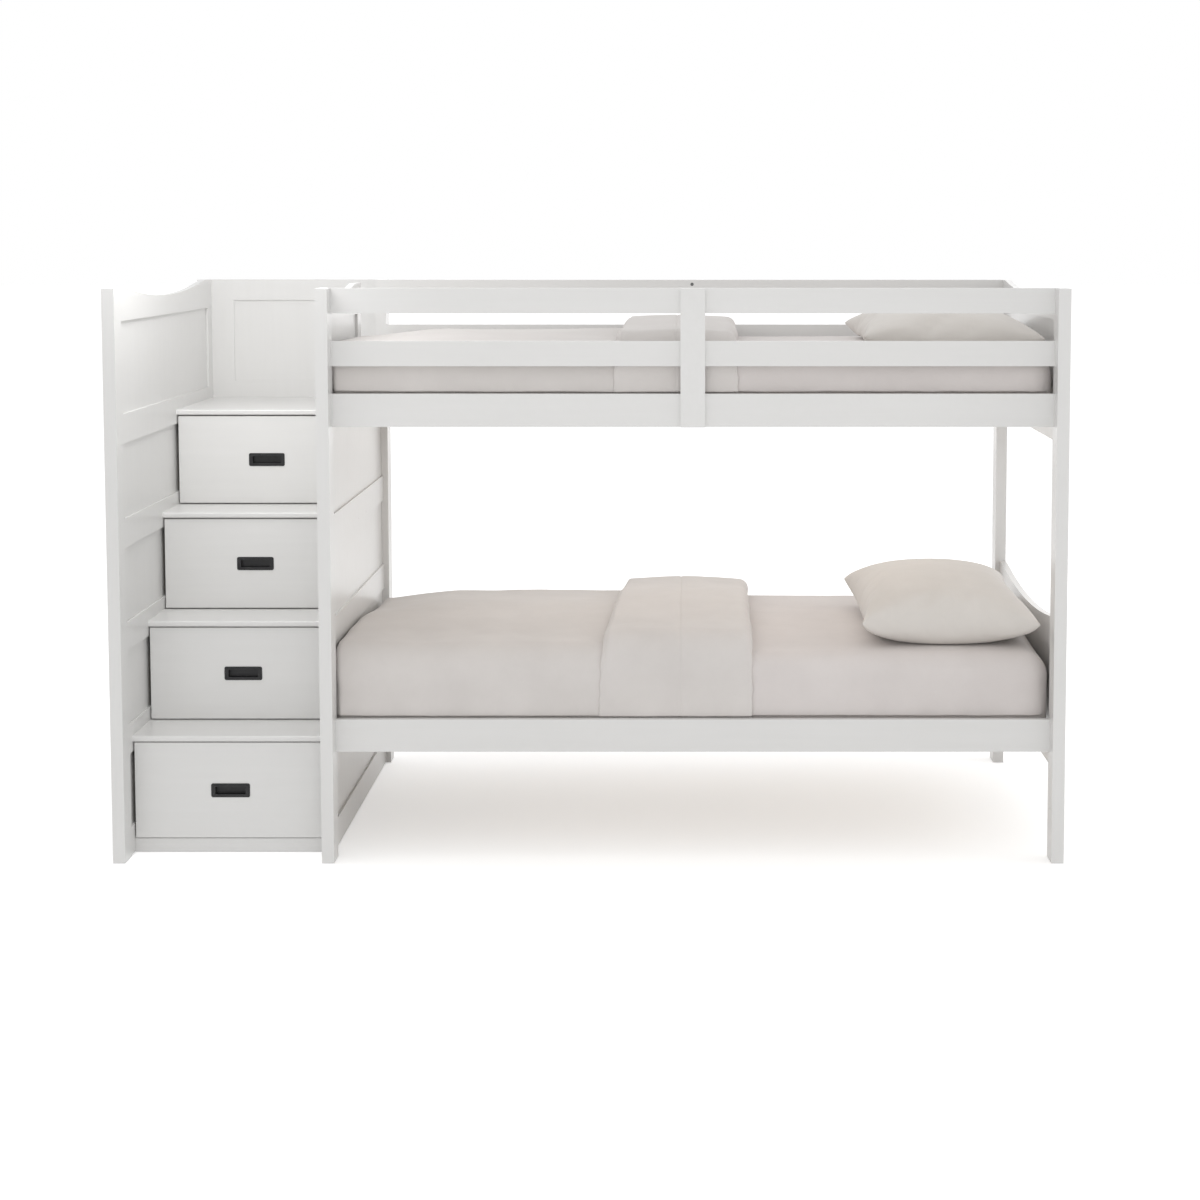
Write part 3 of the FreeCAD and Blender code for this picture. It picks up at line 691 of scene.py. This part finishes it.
def pillow(bunk, sheet, thickness, slack, volume):
    low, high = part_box(bunk + "_pillow")
    centre = (low + high) / 2
    centre.z = low.z + thickness / 2 + pillow_clearance

    def build(shape):
        sewn_case(shape, centre, thickness)

    piece = mesh_piece(bunk + "_pillow_case", build, pillow_cotton)
    piece.shape_key_add(name="filled")
    flat = piece.shape_key_add(name="flat")
    for point in flat.data:
        offset = point.co - centre
        point.co = centre + Vector((offset.x * slack, offset.y * slack, offset.z * 0.03))
    add_cloth(piece, flat, volume)
    settle(piece, sheet)
    press(piece, low.z + thickness * 0.6, thickness * 0.36)
    for face in piece.data.polygons:
        face.use_smooth = True
    finer = piece.modifiers.new("finer", "SUBSURF")
    finer.levels = 1
    finer.render_levels = 1
    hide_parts(bunk + "_pillow")
    return piece


def bed(bunk, seed, hem_x, seam_x, crease_x, thickness, slack, volume):
    sheet = fitted_sheet(bunk, seed)
    duvet(bunk, hem_x, seam_x, crease_x, seed + 20)
    pillow(bunk, sheet, thickness, slack, volume)


bed("lower", 1.3, hem_x=0.055, seam_x=0.245, crease_x=0.446, thickness=0.19, slack=1.163, volume=0.040)
bed("upper", 8.9, hem_x=0.090, seam_x=0.235, crease_x=0.404, thickness=0.125, slack=1.08, volume=0.0245)


# Camera at the photograph's place

camera_place = Vector((0.2662, -5.824, 1.6756))
camera_tilt = math.radians(4.237)
camera_data = bpy.data.cameras.new("camera")
camera_data.sensor_width = 36.0
camera_data.lens = 60.44
camera_data.shift_x = -0.0733
camera_data.shift_y = -0.18
camera = bpy.data.objects.new("camera", camera_data)
camera.location = camera_place
camera.rotation_euler = (math.pi / 2 - camera_tilt, 0.0, 0.0)
scene.collection.objects.link(camera)
scene.camera = camera


# Studio: pale floor, soft lamps, white surround

floor_half_size = 60.0
floor_glow = 0.42


def floor():
    nodes = Nodes("pale_floor")
    nodes.colour(nodes.ramp(nodes.noise(1.3, detail=3.0), (0.3, 0.90), (0.7, 0.92)))
    nodes.roughness(nodes.noise(6.0), 0.75, 0.85)
    nodes.set(Specular_IOR_Level=0.1)
    shape = bmesh.new()
    bmesh.ops.create_grid(shape, x_segments=8, y_segments=8, size=floor_half_size)
    mesh = bpy.data.meshes.new("floor")
    shape.to_mesh(mesh)
    shape.free()
    mesh.materials.append(nodes.material)
    piece = bpy.data.objects.new("floor", mesh)
    piece.location.z = cad_box[0].z - 0.0005
    scene.collection.objects.link(piece)

    path = nodes.add("ShaderNodeLightPath")
    glow = nodes.add("ShaderNodeEmission")
    lift = nodes.add("ShaderNodeAddShader")
    seen = nodes.math("MAXIMUM", path.outputs["Is Camera Ray"], path.outputs["Is Glossy Ray"])
    nodes.link(nodes.math("MULTIPLY", seen, floor_glow), glow.inputs["Strength"])
    output = nodes.tree.nodes["Material Output"]
    nodes.link(nodes.shader.outputs[0], lift.inputs[0])
    nodes.link(glow.outputs[0], lift.inputs[1])
    nodes.link(lift.outputs[0], output.inputs["Surface"])


def surround(strength):
    """White where the camera, gloss or glass sees it, and a plain soft light elsewhere."""
    world = bpy.data.worlds.new("surround")
    scene.world = world
    world.use_nodes = True
    tree = world.node_tree
    light = tree.nodes["Background"]
    light.inputs["Color"].default_value = (1.0, 1.0, 1.0, 1.0)
    light.inputs["Strength"].default_value = strength
    white = tree.nodes.new("ShaderNodeBackground")
    white.inputs["Color"].default_value = (1.0, 1.0, 1.0, 1.0)
    white.inputs["Strength"].default_value = 1.0
    path = tree.nodes.new("ShaderNodeLightPath")
    either = tree.nodes.new("ShaderNodeMath")
    either.operation = "MAXIMUM"
    any_seen = tree.nodes.new("ShaderNodeMath")
    any_seen.operation = "MAXIMUM"
    mix = tree.nodes.new("ShaderNodeMixShader")
    tree.links.new(path.outputs["Is Camera Ray"], either.inputs[0])
    tree.links.new(path.outputs["Is Glossy Ray"], either.inputs[1])
    tree.links.new(either.outputs[0], any_seen.inputs[0])
    tree.links.new(path.outputs["Is Transmission Ray"], any_seen.inputs[1])
    tree.links.new(any_seen.outputs[0], mix.inputs["Fac"])
    tree.links.new(light.outputs[0], mix.inputs[1])
    tree.links.new(white.outputs[0], mix.inputs[2])
    tree.links.new(mix.outputs[0], tree.nodes["World Output"].inputs["Surface"])


def lamp(name, place, target, size, power, size_across=None):
    data = bpy.data.lights.new(name, "AREA")
    data.shape = "RECTANGLE"
    data.size = size
    data.size_y = size_across or size
    data.energy = power
    thing = bpy.data.objects.new(name, data)
    thing.location = place
    thing.rotation_euler = (Vector(target) - Vector(place)).to_track_quat("-Z", "Y").to_euler()
    scene.collection.objects.link(thing)


floor()
surround(0.77)
middle = (0.0, 0.0, 0.8)
lamp("key", (-1.6, -4.6, 4.2), middle, 3.0, 6.0)
lamp("front", (0.2, -6.4, 1.0), middle, 3.5, 56.0)
lamp("right", (4.6, -0.4, 2.0), middle, 3.0, 28.0)
lamp("back", (0.3, 4.6, 2.4), middle, 4.0, 30.0)
lamp("over_stairs", (-1.0, -0.52, 1.92), (-1.0, 0.0, 0.8), 0.45, 5.2)
lamp("between_bunks", (0.26, 0.0, 1.12), (0.26, 0.0, 0.0), 1.60, 2.5, 0.8)
lamp("over_upper_pillow", (0.90, -0.1, 2.1), (0.90, 0.0, 1.3), 0.6, 0.6, 0.6)
